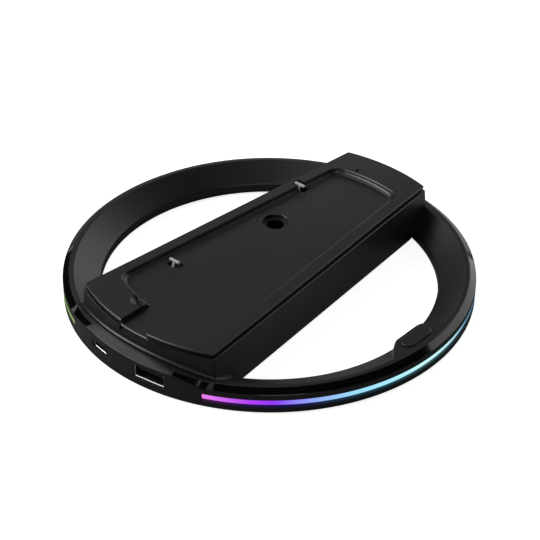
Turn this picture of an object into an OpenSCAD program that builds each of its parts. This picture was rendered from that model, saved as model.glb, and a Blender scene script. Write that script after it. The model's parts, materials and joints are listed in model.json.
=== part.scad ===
// Stand for a games console: a ring lit by a colour strip, crossed by a tapered bridge.
// The bridge's tray takes the console, two T hooks and one screw hole hold it.
// Frame: origin at the ring's centre on the surface it stands on, ports towards -Y,
// button towards +X, +Z up. Heights in the first sections are counted from the base's underside.

/* [Ring] */
// Outer diameter of the ring
ring_d = 160; // [152:1:176]
// Width of the ring, from its outer wall to its inner wall
ring_band = 14.4; // [14:0.1:16]
// Height of the outer wall, where the glossy bevel starts
wall_top = 7.7; // [7.2:0.1:8.4]
// Height of the ring's flat rim
rim_h = 9.5; // [9:0.1:11]
// Width of the glossy bevel, seen from above
bevel_w = 2.5; // [2:0.1:3]
// Width of the flat rim inside the bevel
rim_w = 1.8; // [1.2:0.1:2.4]
// Height of the dish at the ring's inner edge
dish_low = 3.7; // [3.5:0.1:4.5]
// Wall thickness of the mouldings
shell_t = 1.5; // [1.3:0.1:1.8]

/* [Front apron] */
// Half angle of the raised front, where it meets the ring's own section
apron_a = 27; // [26.5:0.5:29]
// Half angle of the part whose edge is level
apron_flat_a = 16; // [14:0.5:17.5]
// Height of the front wall in the level part
apron_edge_h = 10.3; // [9.8:0.1:11.2]
// Height of the apron at the foot of the bridge, in the middle
apron_mid_h = 12; // [11.2:0.1:13]
// Half angle at which the black corner pieces end
inlay_end_a = 24.8; // [23:0.1:25.5]
// Thickness of the black corner pieces
inlay_t = 0.8; // [0.6:0.1:1.2]

/* [Light strip] */
// Height of the strip's lower edge
strip_z = 3.4; // [3:0.1:3.8]
// Height of the lit face
strip_h = 1.9; // [1.5:0.1:2]
// Half angle of the gap in the strip at the front
strip_gap_a = 24.2; // [22:0.1:25.5]
// Number of light sources on the flexible board
led_count = 24; // [12:1:36]
// Length of one light source along the ring
led_len = 2.8; // [2:0.1:3.5]

/* [Base] */
// Height that the rubber feet lift the base by
foot_h = 0.8; // [0.5:0.1:1.5]
// Depth of the recess that each foot is glued into
foot_seat = 0.6; // [0.4:0.1:0.8]
// Width of a foot
foot_w = 6; // [4:0.5:6]
// Angle that a foot spans along the ring
foot_span = 28; // [16:1:30]
// Thickness of the base's floor
floor_t = 1.6; // [1.5:0.1:2]

/* [Bridge] */
// Height of the bridge's top
bridge_h = 19.3; // [18.5:0.1:24]
// Width of the bridge's top plate halfway along
bridge_w = 52.9; // [50:0.1:58]
// Angle by which each side of the bridge turns in towards the rear
bridge_taper = 5.27; // [4.5:0.01:5.8]
// Draft of the side walls
side_draft = 4.4; // [3:0.1:5]
// Draft of the end walls
end_draft = 3; // [1:0.1:4]
// Distance from the ring's outer wall to the plate's round ends
bridge_end_inset = 5.8; // [5.6:0.1:6.6]
// Wall thickness of the bridge
bridge_wall = 2; // [1.8:0.1:2.4]
// Width of the shoulder that stands out round the plate
shoulder_w = 0.5; // [0.3:0.1:0.8]

/* [Tray] */
// Thickness of the tray plate
plate_t = 2.2; // [2:0.1:2.8]
// Depth of the tray
tray_depth = 2; // [1.6:0.1:2.4]
// Width of the plate's border along its sides
tray_margin = 5; // [4.5:0.1:7]
// Width of the plate's border at its ends
tray_end_margin = 13.5; // [12:0.1:15]
// Radius of the tray's corners
tray_corner_r = 4.5; // [3:0.5:6]
// Radius of the round foot of the tray's walls
tray_fillet = 1.3; // [0.8:0.1:1.5]
// Width of the opening in the plate's front border
notch_w = 13; // [10:0.5:16]
// Middle diameter of the sloping round relief at the border's inner corner
relief_d = 5.4; // [4:0.1:6]

/* [Console screw] */
// Place of the screw hole from the ring's centre
screw_x = -9.5; // [-12:0.5:-8]
screw_y = 14; // [10:0.5:18]
// Diameter of the hole
screw_hole_d = 7; // [5:0.1:8]
// Diameter of the recess round the hole
screw_seat_d = 10.5; // [9.5:0.1:12]
// Depth of the recess
screw_seat_h = 1.35; // [0.8:0.05:1.8]

/* [Hooks] */
// Distance of both hooks to the left of the centre line
hook_x = 17.8; // [16.5:0.1:18.5]
// Place of the front hook along the bridge
hook_front_y = -34; // [-38:0.5:-30]
// Place of the rear hook along the bridge
hook_rear_y = 38.6; // [34:0.1:40]
// Length of the hook's bar
hook_bar = 5; // [4:0.1:5.4]
// Thickness of the hook's bar and rib
hook_t = 1.1; // [0.8:0.1:1.4]
// Height of the hook's top above the plate
hook_rise = 0.5; // [0.2:0.1:1.2]
// Size of the opening under each hook
pocket_x = 5.8; // [5.6:0.1:6.4]
pocket_y = 3.8; // [3.4:0.1:4.4]

/* [Ports] */
// Angle of the large port from the front, towards the right
port_a_angle = 8.6; // [7.5:0.1:9.5]
// Angle of the small port from the front, towards the left
port_c_angle = 9.6; // [8.5:0.1:11]
// Height of the ports' middle
port_z = 5.8; // [5.6:0.1:6]
// Outer width and height of the large port
port_a_w = 13.2; // [13:0.1:13.4]
port_a_h = 5.6; // [5.5:0.1:5.7]
// Length of the large port
port_a_len = 14; // [12:0.1:14.5]
// Outer width and height of the small port
port_c_w = 8.9; // [8.8:0.1:9.2]
port_c_h = 3.2; // [3.1:0.1:3.4]
// Length of the small port
port_c_len = 7.4; // [6.5:0.1:8.5]
// Depth at which the ports sit behind the wall's face
port_inset = 0.7; // [0.5:0.1:1]

/* [Button] */
// Length of the button's cap
cap_len = 15; // [12:0.1:16]
// Width of the button's cap
cap_w = 5.8; // [5:0.1:5.8]
// Height of the cap above its pad
cap_rise = 0.5; // [0.4:0.05:0.8]
// Distance from the ring's outer wall to the middle of the button
cap_inset = 8.3; // [8.2:0.05:8.5]
// Travel of the button
cap_travel = 0.5; // [0.3:0.05:0.5]
// Half length of the pad at the rim
pad_half = 20; // [17:0.5:22]

/* [Hidden] */
$fn = 96;

// Clearances between pieces that seat on each other
seat = 0.05;
slip = 0.1;
// Margin by which a cut runs past what it cuts
past = 1;

// Radii of the ring, from the outside in
ring_r = ring_d / 2;
bevel_r = ring_r - bevel_w;
rim_in_r = bevel_r - rim_w;
ring_in_r = ring_r - ring_band;
wall_in_r = ring_r - 1.8;
cavity_in_r = ring_in_r + 1.6;
// Thickness of the dish counted straight down
dish_slope = (rim_h - dish_low) / (rim_in_r - ring_in_r);
skin_t = shell_t * sqrt(1 + dish_slope * dish_slope);
ledge_z = wall_top - shell_t;
strip_top = strip_z + strip_h;

// The plate's end radius, its underside and the tray's floor
end_r = ring_r - bridge_end_inset;
half_w = bridge_w / 2;
shoulder_z = bridge_h - plate_t;
tray_z = bridge_h - tray_depth;
pan_z = tray_z - plate_t;
tray_end_r = end_r - tray_end_margin;
relief_x = -notch_w / 2 - relief_d / 2 - 0.4;

// Screws: thread, head and the bosses that take them
thread_d = 2;
pilot_d = 2.1;
head_d = 3.6;
head_h = 1.2;
boss_d = 4.6;
base_boss_h = 2.7;
head_seat_z = 1.5;
ring_boss_r = ring_r - 8.6;
ring_screw_a = [-50, -22, 22, 52, 128, 158, 202, 230];
bridge_screws_at = [[13, end_r - 22], [-13, end_r - 22], [21, -18], [-21, -18]];

// Boards and what stands on them
board_t = 1.2;
board_z = port_z - port_c_h / 2 - board_t;
board_half = 23;
board_front_r = ring_r - 3;
board_back_y = -(ring_r - 24);
post_x = board_half - 2.2;
board_posts = [[post_x, -(ring_r - 9)], [-post_x, -(ring_r - 9)], [post_x, -(ring_r - 20)],
    [-post_x, -(ring_r - 20)]];
led_board_r = ring_r - 4.65;
led_board_t = 0.35;
led_board_z = strip_z - 0.8;
led_board_h = strip_h + 1.5;
rib_r = led_board_r - seat;
rib_t = 1.3;

// Button and its switch, stacked from the base's floor upwards
cap_r = ring_r - cap_inset;
cap_skin_z = rim_h - shell_t;
cap_ear_t = 0.6;
cap_low_z = cap_skin_z - seat - cap_ear_t;
button_board_z = floor_t + 0.6;
button_board_h = 1;
can_w = 4.5;
can_h = 3;
can_z = button_board_z + button_board_h;
stem_d = 3.2;
stem_z = can_z + can_h - 0.45;
stem_top = cap_low_z - 0.45;
pad_in_x = ring_in_r + 1.9;

// Angles around the ring are counted from +X, the front is at -90
front = -90;
apron_steps = 24;

// Height of the dish at a radius
function dish_z(r) = dish_low + (r - ring_in_r) * dish_slope;
// Share of the way from the level front edge to the ring's own section
function apron_share(a) =
    max(0, min(1, (abs(a) - apron_flat_a) / (apron_a - 1.5 - apron_flat_a)));
function mix(p, q, t) = p + (q - p) * t;
// Heights across the apron at an angle from the front: foot of the bridge, rim and wall's edge
function apron_foot_z(a) = mix(apron_mid_h, dish_z(end_r) - seat, pow(a / apron_a, 2));
function apron_edge_z(a) = mix(apron_edge_h, wall_top + seat, apron_share(a));
function apron_rim_z(a) = mix(
    mix(apron_foot_z(a), apron_edge_h, (bevel_r - end_r) / (ring_r - end_r)),
    rim_h + seat, apron_share(a));
// Point at a radius, an angle from the front and a height
function at_front(r, a, z) = [r * sin(a), -r * cos(a), z];
// One section of the apron, run inwards under the bridge and outwards past the wall
function apron_section(a, drop) = let (
        inner_r = ring_in_r - 3,
        outer_r = ring_r + 2,
        edge_slope = (apron_edge_z(a) - apron_rim_z(a)) / bevel_w)
    [at_front(inner_r, a, -past),
     at_front(inner_r, a, apron_foot_z(a) - dish_slope * (end_r - inner_r) - drop),
     at_front(end_r, a, apron_foot_z(a) - drop),
     at_front(bevel_r, a, apron_rim_z(a) - drop),
     at_front(outer_r, a, apron_edge_z(a) + edge_slope * (outer_r - ring_r) - drop),
     at_front(outer_r, a, -past)];

// Solid through a list of sections with the same number of points
module loft(sections) {
    n = len(sections[0]);
    last = len(sections) - 1;
    polyhedron(
        points = [for (s = sections) each s],
        faces = concat(
            [[for (i = [0:n - 1]) i]],
            [[for (i = [n - 1:-1:0]) last * n + i]],
            [for (s = [0:last - 1], i = [0:n - 1]) let (a = s * n + i, b = s * n + (i + 1) % n)
                each [[a, a + n, b], [b, a + n, b + n]]]));
}

// The apron's outer form, lowered by drop and cut by angle
module apron_form(drop, half_a = apron_a) {
    loft([for (i = [0:apron_steps])
        apron_section(mix(-half_a, half_a, i / apron_steps), drop)]);
}

// Ring or part of a ring with a profile of [radius, height] points
module revolve(profile, from = 0, span = 360) {
    rotate([0, 0, from]) rotate_extrude(angle = span, $fn = 180) polygon(profile);
}
// Profile of a band between two radii and two heights
function band(r0, r1, z0, z1) = [[r0, z0], [r1, z0], [r1, z1], [r0, z1]];

// Everything right of the bridge's right side, with the side moved in by inset
module beyond_side(inset) {
    size = 4 * ring_r;
    translate([half_w + shoulder_w, 0, shoulder_z]) rotate([0, -side_draft, bridge_taper])
        translate([-inset, -size / 2, -size / 2]) cube(size);
}

// The bridge's form below the plate, with its walls moved in by inset
module bridge_form(inset) {
    low = -past;
    lift = tan(end_draft);
    foot_r = end_r + shoulder_w + (shoulder_z - low) * lift - inset;
    difference() {
        translate([0, 0, low]) cylinder(h = shoulder_z - low,
            r1 = foot_r, r2 = end_r + shoulder_w - inset, $fn = 180);
        for (side = [0, 1]) mirror([side, 0, 0]) beyond_side(inset);
    }
}

// Half width of the plate at a place along the bridge
function plate_half(y) = half_w - y * tan(bridge_taper);
// Outline that narrows to the rear between the plate's sides, moved in by inset
module tapered_outline(inset) {
    y = ring_r;
    polygon([[-plate_half(-y) + inset, -y], [plate_half(-y) - inset, -y],
        [plate_half(y) - inset, y], [-plate_half(y) + inset, y]]);
}

// Outline of the tray with its round corners, moved in by inset
module tray_outline(inset) {
    offset(r = tray_corner_r - inset, $fn = 32) offset(delta = -tray_corner_r) intersection() {
        circle(r = tray_end_r, $fn = 120);
        tapered_outline(tray_margin);
    }
}

// Hollow of the tray: walls with a round foot, in a few level slices
module tray_hollow() {
    steps = 4;
    hull() {
        for (i = [0:steps]) {
            turn = 90 * i / steps;
            translate([0, 0, tray_z + tray_fillet * (1 - cos(turn))])
                linear_extrude(0.01) tray_outline(tray_fillet * (1 - sin(turn)));
        }
        translate([0, 0, bridge_h]) linear_extrude(past) tray_outline(0);
    }
}

// Round boss with a pilot hole is made of these two
module boss_at(p, z0, z1, d = boss_d) {
    translate([p[0], p[1], z0]) cylinder(h = z1 - z0, d = d);
}
// Place of a screw in the ring
function ring_screw(a) = [ring_boss_r * cos(a), ring_boss_r * sin(a)];

// Screw driven upwards from the base's recess, with a cross in its head
module screw(p, length) {
    cross_l = 2;
    cross_w = 0.5;
    cross_h = 0.6;
    translate([p[0], p[1], head_seat_z]) {
        cylinder(h = length, d = thread_d);
        translate([0, 0, -head_h]) difference() {
            cylinder(h = head_h, d = head_d);
            for (turn = [0, 90]) rotate([0, 0, turn])
                translate([-cross_l / 2, -cross_w / 2, -past]) cube([cross_l, cross_w, past + cross_h]);
        }
    }
}

// Box with its middle at the given place in X and Y
module block(x, y, z, size) {
    translate([x - size[0] / 2, y - size[1] / 2, z]) cube(size);
}

// Flat plate with two round ends, long in Y
module pill(length, width, z0, z1) {
    for (side = [-1, 1]) translate([0, side * (length - width) / 2, z0])
        cylinder(h = z1 - z0, d = width);
    translate([-width / 2, -(length - width) / 2, z0]) cube([width, length - width, z1 - z0]);
}

// Everything is modelled from the base's underside and stood on the feet
module on_feet() translate([0, 0, foot_h]) children();
// Turns a port so that it looks out of the front wall, its mouth at the origin
module facing_front(angle) {
    rotate([0, 0, angle]) translate([0, -(ring_r - port_inset), port_z]) children();
}

// Outline of the button's pad: level with the rim, it curves out of it towards the middle
function pad_edge(y) = let (
        flat = pad_half * 0.27,
        t = max(0, (abs(y) - flat) / (pad_half - flat)))
    mix(pad_in_x, rim_in_r, t * t * (3 - 2 * t));
module pad_form() {
    low = dish_low + 0.5;
    intersection() {
        translate([0, 0, low]) linear_extrude(rim_h - low) polygon(concat(
            [[bevel_r, -pad_half], [bevel_r, pad_half]],
            [for (i = [12:-1:-12]) let (y = pad_half * i / 12) [pad_edge(y), y]]));
        cylinder(r = bevel_r - rim_w / 2, h = rim_h, $fn = 180);
    }
}
module pad_hollow() {
    translate([pad_in_x + shell_t, -(cap_len / 2 + 2), -past])
        cube([rim_in_r - pad_in_x - shell_t + 0.3, cap_len + 4, cap_skin_z + past]);
}

// Black corner pieces of the apron: a thin layer of its sloping face
module inlay_layer(gap, outer = 0) {
    from_a = apron_flat_a + 0.4 - gap;
    to_a = inlay_end_a + gap;
    difference() {
        intersection() {
            union() for (side = [0, 1]) mirror([side, 0, 0])
                revolve(band(bevel_r + 0.2 - gap, ring_r + outer, wall_top - 2, rim_h + 3),
                    front + from_a, to_a - from_a);
            apron_form(0);
        }
        apron_form(inlay_t + gap);
    }
}

// Upper moulding of the ring: outer wall, dish, raised front and button pad
module ring_top_shell() color("#2b2b2d") on_feet() {
    difference() {
        union() {
            revolve([[ring_in_r, 0], [ring_in_r, dish_low], [rim_in_r, rim_h], [bevel_r, rim_h],
                [bevel_r, wall_top], [ring_r, wall_top], [ring_r, 0]],
                front + apron_a, 360 - 2 * apron_a);
            // The raised front closes the ring
            intersection() {
                revolve(band(ring_in_r, ring_r, 0, apron_mid_h + 2), front - apron_a, 2 * apron_a);
                apron_form(0, apron_a + 1);
            }
            pad_form();
        }
        // Hollow of the ring under the dish
        revolve([[cavity_in_r, -past], [cavity_in_r, dish_z(cavity_in_r) - skin_t],
            [rim_in_r + 0.3, rim_h - skin_t], [rim_in_r + 0.3, ledge_z], [wall_in_r, ledge_z],
            [wall_in_r, -past]]);
        // Hollow under the apron
        intersection() {
            apron_form(skin_t, apron_a - 1.5);
            revolve(band(cavity_in_r + 0.3, wall_in_r - 0.3, -past, apron_mid_h));
        }
        pad_hollow();
        bridge_form(bridge_wall);
        // The wall opens for the light strip, and ends on the base's floor at the front
        revolve(band(wall_in_r - seat, ring_r + past, -past, strip_top + seat),
            front + strip_gap_a - 0.1, 360 - 2 * strip_gap_a + 0.2);
        revolve(band(wall_in_r - seat, ring_r + past, -past, floor_t + seat));
        inlay_layer(seat, past);
        // Windows for the ports
        facing_front(port_a_angle) block(0, 0, -port_a_h / 2 - slip,
            [port_a_w + 2 * slip, 8, port_a_h + 2 * slip]);
        facing_front(-port_c_angle) rotate([90, 90, 0]) translate([0, 0, -4])
            pill(port_c_w + 2 * slip, port_c_h + 2 * slip, 0, 8);
        // Slot for the button
        translate([cap_r, 0, 0]) pill(cap_len + 2 * slip, cap_w + 2 * slip, 0, rim_h + past);
    }
    for (a = ring_screw_a) difference() {
        boss_at(ring_screw(a), base_boss_h + seat, dish_z(ring_boss_r) - skin_t / 2);
        boss_at(ring_screw(a), 0, dish_z(ring_boss_r) - skin_t, pilot_d);
    }
}

// Glossy band set into the ledge between the wall and the rim
module gloss_band() color("#0a0a0b") on_feet() {
    low = wall_top + seat;
    revolve([[ring_r, low], [bevel_r + seat, rim_h], [bevel_r + seat, low]],
        front + apron_a + 0.3, 360 - 2 * (apron_a + 0.3));
}

module corner_inlays() color("#0a0a0b") on_feet() inlay_layer(0);

// Lower moulding: floor of ring and bridge, wall under the light strip, bosses and ribs
module base_shell() color("#232325") on_feet() {
    difference() {
        union() {
            // Floor, with a low wall that stands up to the light strip, and its gap at the front
            difference() {
                revolve([[cavity_in_r + slip, 0], [ring_r, 0], [ring_r, strip_z], [wall_in_r, strip_z],
                    [wall_in_r, floor_t], [cavity_in_r + slip, floor_t]]);
                revolve(band(wall_in_r - 0.5, ring_r + past, floor_t, strip_z + past),
                    front - strip_gap_a, 2 * strip_gap_a);
            }
            // Rib that the flexible board is stuck to
            revolve(band(rib_r - rib_t, rib_r, floor_t / 2, strip_top),
                front + strip_gap_a + 1, 360 - 2 * (strip_gap_a + 1));
            intersection() {
                bridge_form(bridge_wall + slip);
                cylinder(h = floor_t, r = cavity_in_r + 2, $fn = 180);
            }
            for (a = ring_screw_a) boss_at(ring_screw(a), 0, base_boss_h, boss_d + 0.4);
            for (p = bridge_screws_at) boss_at(p, 0, base_boss_h, boss_d + 2);
            for (p = board_posts) boss_at(p, 0, board_z - seat, 3.6);
            // Posts under the hooks and under the button's board
            for (y = [hook_front_y, hook_rear_y])
                boss_at([-hook_x, y], 0, pan_z - hook_t - 2 * seat, 5);
            for (y = [-5, 5]) boss_at([cap_r - 0.6, y], 0, button_board_z - seat, 3);
        }
        for (p = [for (a = ring_screw_a) ring_screw(a)]) screw_way(p);
        for (p = bridge_screws_at) screw_way(p);
        for (p = board_posts) boss_at(p, floor_t - 0.6, board_z + past, 1.7);
        // Way in for the console's screw
        boss_at([screw_x, screw_y], -past, floor_t + past, screw_hole_d + 2);
        feet(foot_seat, slip);
    }
}
// Hole for a screw's shank and the recess for its head
module screw_way(p) {
    boss_at(p, -past, base_boss_h + past, thread_d + 0.3);
    boss_at(p, -past, head_seat_z, head_d + 0.4);
}

// Four feet along the ring, up to a height above the base's underside
module feet(top, gap) {
    foot_r = ring_r - 6.6;
    for (a = [0:90:270]) {
        revolve(band(foot_r - foot_w / 2 - gap, foot_r + foot_w / 2 + gap, -foot_h, top),
            a - foot_span / 2, foot_span);
        for (side = [-1, 1]) rotate([0, 0, a + side * foot_span / 2])
            translate([foot_r, 0, -foot_h]) cylinder(h = foot_h + top, d = foot_w + 2 * gap);
    }
}
module rubber_feet() color("#1b1b1b") on_feet() feet(foot_seat - seat, 0);

// Light guide: the lit face flush with the wall, and a flange that holds it from inside
module light_guide() color("#8fd8ff") on_feet() {
    from = front + strip_gap_a + 0.1;
    span = 360 - 2 * (strip_gap_a + 0.1);
    flange_r = wall_in_r - slip;
    revolve([[ring_r, strip_z + seat], [ring_r, strip_top], [flange_r, strip_top],
        [flange_r, strip_top + 0.5], [flange_r - 1, strip_top + 0.5], [flange_r - 1, strip_z - 0.5],
        [flange_r, strip_z - 0.5], [flange_r, strip_z + seat]], from, span);
}

// Flexible board on the rib, and the light sources along it
module led_strip() color("#d8d8d0") on_feet()
    revolve(band(led_board_r, led_board_r + led_board_t, led_board_z, led_board_z + led_board_h),
        front + strip_gap_a + 1.2, 360 - 2 * (strip_gap_a + 1.2));
module leds() color("white") on_feet() {
    led_t = 1;
    end_a = strip_gap_a + 4;
    for (i = [0:led_count - 1])
        rotate([0, 0, front + end_a + i * (360 - 2 * end_a) / (led_count - 1)])
            translate([led_board_r + led_board_t + seat, -led_len / 2, strip_z])
                cube([led_t, led_len, strip_h]);
}

// Walls of the bridge: they stand on the ring and reach down inside it
module bridge_housing() color("#262628") on_feet() difference() {
    bridge_form(0);
    bridge_form(bridge_wall);
    // Underside, level with the base
    translate([0, 0, -2 * past]) cylinder(h = 2 * past, r = ring_r + past);
    // What the ring fills
    revolve([[ring_in_r - slip, -past], [ring_in_r - slip, dish_z(ring_in_r) + slip],
        [rim_in_r, rim_h + slip], [ring_r + past, rim_h + slip], [ring_r + past, -past]]);
    apron_form(-slip);
    // Step under the tray's open front
    block(0, -end_r, shoulder_z - tray_depth, [notch_w + 2 * slip, 20, bridge_h]);
}

// Plate with the tray, its open front, the hook openings and the console's screw hole
module tray_plate() color("#2d2d30") on_feet() {
    difference() {
        union() {
            intersection() {
                translate([0, 0, shoulder_z + seat]) linear_extrude(plate_t - seat)
                    tapered_outline(0);
                cylinder(r = end_r, h = bridge_h + past, $fn = 180);
            }
            // Underside of the sunk part
            intersection() {
                translate([0, 0, pan_z]) linear_extrude(plate_t)
                    tapered_outline(tray_margin - shell_t);
                cylinder(r = tray_end_r + shell_t, h = bridge_h, $fn = 180);
            }
            // Lip at the open front
            intersection() {
                translate([-notch_w / 2, -end_r, pan_z]) cube([notch_w, end_r / 2, plate_t]);
                cylinder(r = end_r, h = bridge_h, $fn = 180);
            }
            for (p = bridge_screws_at) boss_at(p, base_boss_h + seat, pan_z + 1);
            boss_at([screw_x, screw_y], floor_t + slip, pan_z + 1, screw_hole_d + 4);
        }
        tray_hollow();
        translate([-notch_w / 2, -end_r - past, tray_z])
            cube([notch_w, end_r - tray_end_r / 2, tray_depth + past]);
        boss_at([screw_x, screw_y], 0, bridge_h, screw_hole_d);
        boss_at([screw_x, screw_y], tray_z - screw_seat_h, bridge_h, screw_seat_d);
        for (p = bridge_screws_at) boss_at(p, 0, pan_z, pilot_d);
        for (y = [hook_front_y, hook_rear_y])
            block(-hook_x - 0.2, y + 0.5, 0, [pocket_x, pocket_y, bridge_h + past]);
        // Relief, a cone that narrows down to the tray's floor, and the slit at its foot
        translate([relief_x, -tray_end_r, tray_z])
            cylinder(d1 = relief_d - tray_depth, d2 = relief_d + tray_depth + 2 * past,
                h = tray_depth + past, $fn = 48);
        translate([relief_x + 1.1, -tray_end_r - 1.1, 0]) rotate([0, 0, -45])
            block(0, 0, 0, [relief_d / 2, 1.1, bridge_h]);
        // Small mark in the rear border
        block(-7.6, tray_end_r + 1.8, bridge_h - 0.6, [1, 1.8, 1]);
    }
}

// T hook: a rib with a sloping front, a bar across its top and a foot under the plate
module hook(y) color("#b9bbbd") on_feet() translate([-hook_x, y, 0]) {
    top = bridge_h + hook_rise;
    foot_y = 6.5;
    translate([-hook_t / 2, 0, 0]) rotate([90, 0, 90]) linear_extrude(hook_t)
        polygon([[-1.3, pan_z - seat - hook_t], [-1.3, tray_z], [-hook_t / 2, top - hook_t],
            [-hook_t / 2, top], [hook_t / 2, top], [hook_t / 2, pan_z - seat - hook_t]]);
    block(0, 0, top - hook_t, [hook_bar, hook_t, hook_t]);
    block(0, 0, pan_z - seat - hook_t, [pocket_x + 0.8, foot_y, hook_t]);
}
module hook_front() hook(hook_front_y);
module hook_rear() hook(hook_rear_y);

// Button: a round-ended cap held by two ears, which presses the switch's stem
module button_cap() color("#303033") on_feet() translate([cap_r, 0, 0]) {
    crown = 0.3;
    top = rim_h + cap_rise;
    pill(cap_len, cap_w, cap_low_z, top - crown);
    pill(cap_len - 2 * crown, cap_w - 2 * crown, cap_low_z, top);
    block(0, 0, cap_low_z, [cap_w - 2, cap_len + 2.2, cap_ear_t]);
    boss_at([0, 0], stem_top, cap_low_z + 0.1, stem_d);
}
module switch_stem() color("#111111") on_feet()
    boss_at([cap_r, 0], stem_z - cap_travel - 0.1, stem_top - 0.02, stem_d);
module switch_can() color("#c2c2c6") on_feet() difference() {
    block(cap_r - 0.2, 0, can_z, [can_w, can_w, can_h]);
    boss_at([cap_r, 0], stem_z - 2 * cap_travel - 0.2, can_z + can_h + past, stem_d + 0.2);
}
module button_board() color("#1f5b3a") on_feet()
    block(cap_r - 0.6, 0, button_board_z, [can_w + 0.2, 14, button_board_h]);

// Main board behind the front wall, with its cut-out for the large port
module main_board() color("#1f5b3a") on_feet() difference() {
    intersection() {
        translate([-board_half, -ring_r, board_z])
            cube([2 * board_half, ring_r + board_back_y, board_t]);
        translate([0, 0, board_z]) cylinder(r = board_front_r, h = board_t, $fn = 180);
    }
    facing_front(port_a_angle) block(0, port_a_len / 2, -port_a_h,
        [port_a_w + 2 * slip, port_a_len + 2 * slip, 2 * port_a_h]);
    for (p = board_posts) boss_at(p, board_z - past, board_z + board_t + past, thread_d + 0.3);
}
module board_chips() color("#18181a") on_feet() {
    top = board_z + board_t;
    back = board_back_y;
    block(-2, back - 4, top, [5, 5, 0.9]);
    block(9, back - 3.5, top, [4, 3, 1.1]);
    block(-12, back - 4, top, [3.2, 4.6, 1.4]);
    for (i = [0:3]) block(-17 + i * 1.8, back - 9, top, [1, 1.6, 0.6]);
}
// Sockets that the two cables end in: one on top of the board, one under it
led_socket = [board_half - 2, -(ring_r - 13.2)];
button_socket = [board_half - 2, -(ring_r - 16)];
socket_h = 1.6;
socket_w = 3.6;
module board_sockets() color("#e4e0d0") on_feet() {
    block(led_socket[0], led_socket[1], board_z + board_t, [socket_w, 3, socket_h]);
    block(button_socket[0], button_socket[1], board_z - socket_h + 0.2,
        [socket_w, 2.4, socket_h - 0.2]);
}
module board_screws() color("#b0b0b4") on_feet() for (p = board_posts) {
    boss_at(p, floor_t, board_z + board_t + 0.05, 1.6);
    boss_at(p, board_z + board_t, board_z + board_t + 0.9, 3.2);
}

// Large port: a folded sheet shell, a plastic tongue and its four contacts
module port_a_shell() color("silver") on_feet() facing_front(port_a_angle) {
    sheet = 0.3;
    difference() {
        block(0, port_a_len / 2, -port_a_h / 2, [port_a_w, port_a_len, port_a_h]);
        block(0, port_a_len / 2 - 1, -port_a_h / 2 + sheet,
            [port_a_w - 2 * sheet, port_a_len + 1, port_a_h - 2 * sheet]);
    }
}
module port_a_tongue() color("#161618") on_feet() facing_front(port_a_angle) {
    core = 4;
    block(0, port_a_len - 0.5 - core / 2 - 0.35, -port_a_h / 2 + 0.35,
        [port_a_w - 0.7, core, port_a_h - 0.7]);
    block(0, 1.2 + (port_a_len - 5) / 2, 0.1, [port_a_w - 2.2, port_a_len - 5, 1.8]);
}
module port_a_contacts() color("gold") on_feet() facing_front(port_a_angle)
    for (i = [-1.5:1:1.5]) block(i * 2.4, 5.2, -0.15, [1, 6, 0.2]);
// Small port: a rolled shell with round ends and a thin middle tongue
module port_c_shell() color("silver") on_feet() facing_front(-port_c_angle)
    rotate([-90, 90, 0]) difference() {
        pill(port_c_w, port_c_h, 0, port_c_len);
        pill(port_c_w - 0.6, port_c_h - 0.6, -past, port_c_len - 0.8);
    }
module port_c_tongue() color("#161618") on_feet() facing_front(-port_c_angle)
    block(0, port_c_len / 2 + 0.1, -0.35, [port_c_w - 2.3, port_c_len - 1.9, 0.7]);

// Flat cable standing on edge along a path, as a strip of even thickness
function heading(path, i) = let (d = path[min(i + 1, len(path) - 1)] - path[max(i - 1, 0)])
    d / norm(d);
function beside(path, i, w) = let (d = heading(path, i)) path[i] + w * [-d[1], d[0]];
module flat_cable(path, z0, z1) {
    t = 0.35;
    n = len(path) - 1;
    translate([0, 0, z0]) linear_extrude(z1 - z0) polygon(concat(
        [for (i = [0:n]) beside(path, i, t)], [for (i = [n:-1:0]) beside(path, i, -t)]));
}
// Points along a circle about the ring's centre, from one angle to another
function arc(r, a0, a1, n) = [for (i = [0:n]) let (a = mix(a0, a1, i / n)) [r * cos(a), r * sin(a)]];
module led_cable() color("#d9d4c4") on_feet() {
    from = [led_socket[0] + socket_w / 2 + slip, led_socket[1]];
    bend = arc(rib_r - rib_t - 0.9, front + strip_gap_a - 2, front + strip_gap_a + 4, 4);
    flat_cable(concat([from, (from + bend[0]) / 2], bend),
        board_z + board_t + 0.1, board_z + board_t + socket_h - 0.2);
}
module button_cable() color("#d9d4c4") on_feet() {
    from = [button_socket[0] + socket_w / 2 + slip, button_socket[1]];
    bend = arc(cavity_in_r + 0.7, front + strip_gap_a + 4, -7, 24);
    flat_cable(concat([from, (from + bend[0]) / 2], bend), floor_t + slip, floor_t + 1.3);
}

module ring_screws() color("#9a9aa0") on_feet()
    for (a = ring_screw_a)
        screw(ring_screw(a), dish_z(ring_boss_r - pilot_d / 2) - skin_t - head_seat_z - 0.2);
module bridge_screws() color("#9a9aa0") on_feet()
    for (p = bridge_screws_at) screw(p, 9);

ring_top_shell();
gloss_band();
corner_inlays();
base_shell();
light_guide();
led_strip();
leds();
bridge_housing();
tray_plate();
hook_front();
hook_rear();
button_cap();
switch_stem();
switch_can();
button_board();
main_board();
board_chips();
board_sockets();
port_a_shell();
port_a_tongue();
port_a_contacts();
port_c_shell();
port_c_tongue();
led_cable();
button_cable();
ring_screws();
bridge_screws();
board_screws();
rubber_feet();
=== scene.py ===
# %% [markdown]
# # A console stand with a lit ring
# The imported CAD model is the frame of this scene: every solid is already in its place, in
# metres, with +Z up, the ports towards -Y and the button towards +X. This file gives the
# stand its looks. Some CAD pieces only get a finish, and others are made again here as
# smooth surfaces with rounded edges, because light shows an edge by its rounding.

# %% Load the frame
import json
import math
import bpy
import bmesh
import numpy as np
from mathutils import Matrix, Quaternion, Vector


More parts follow.
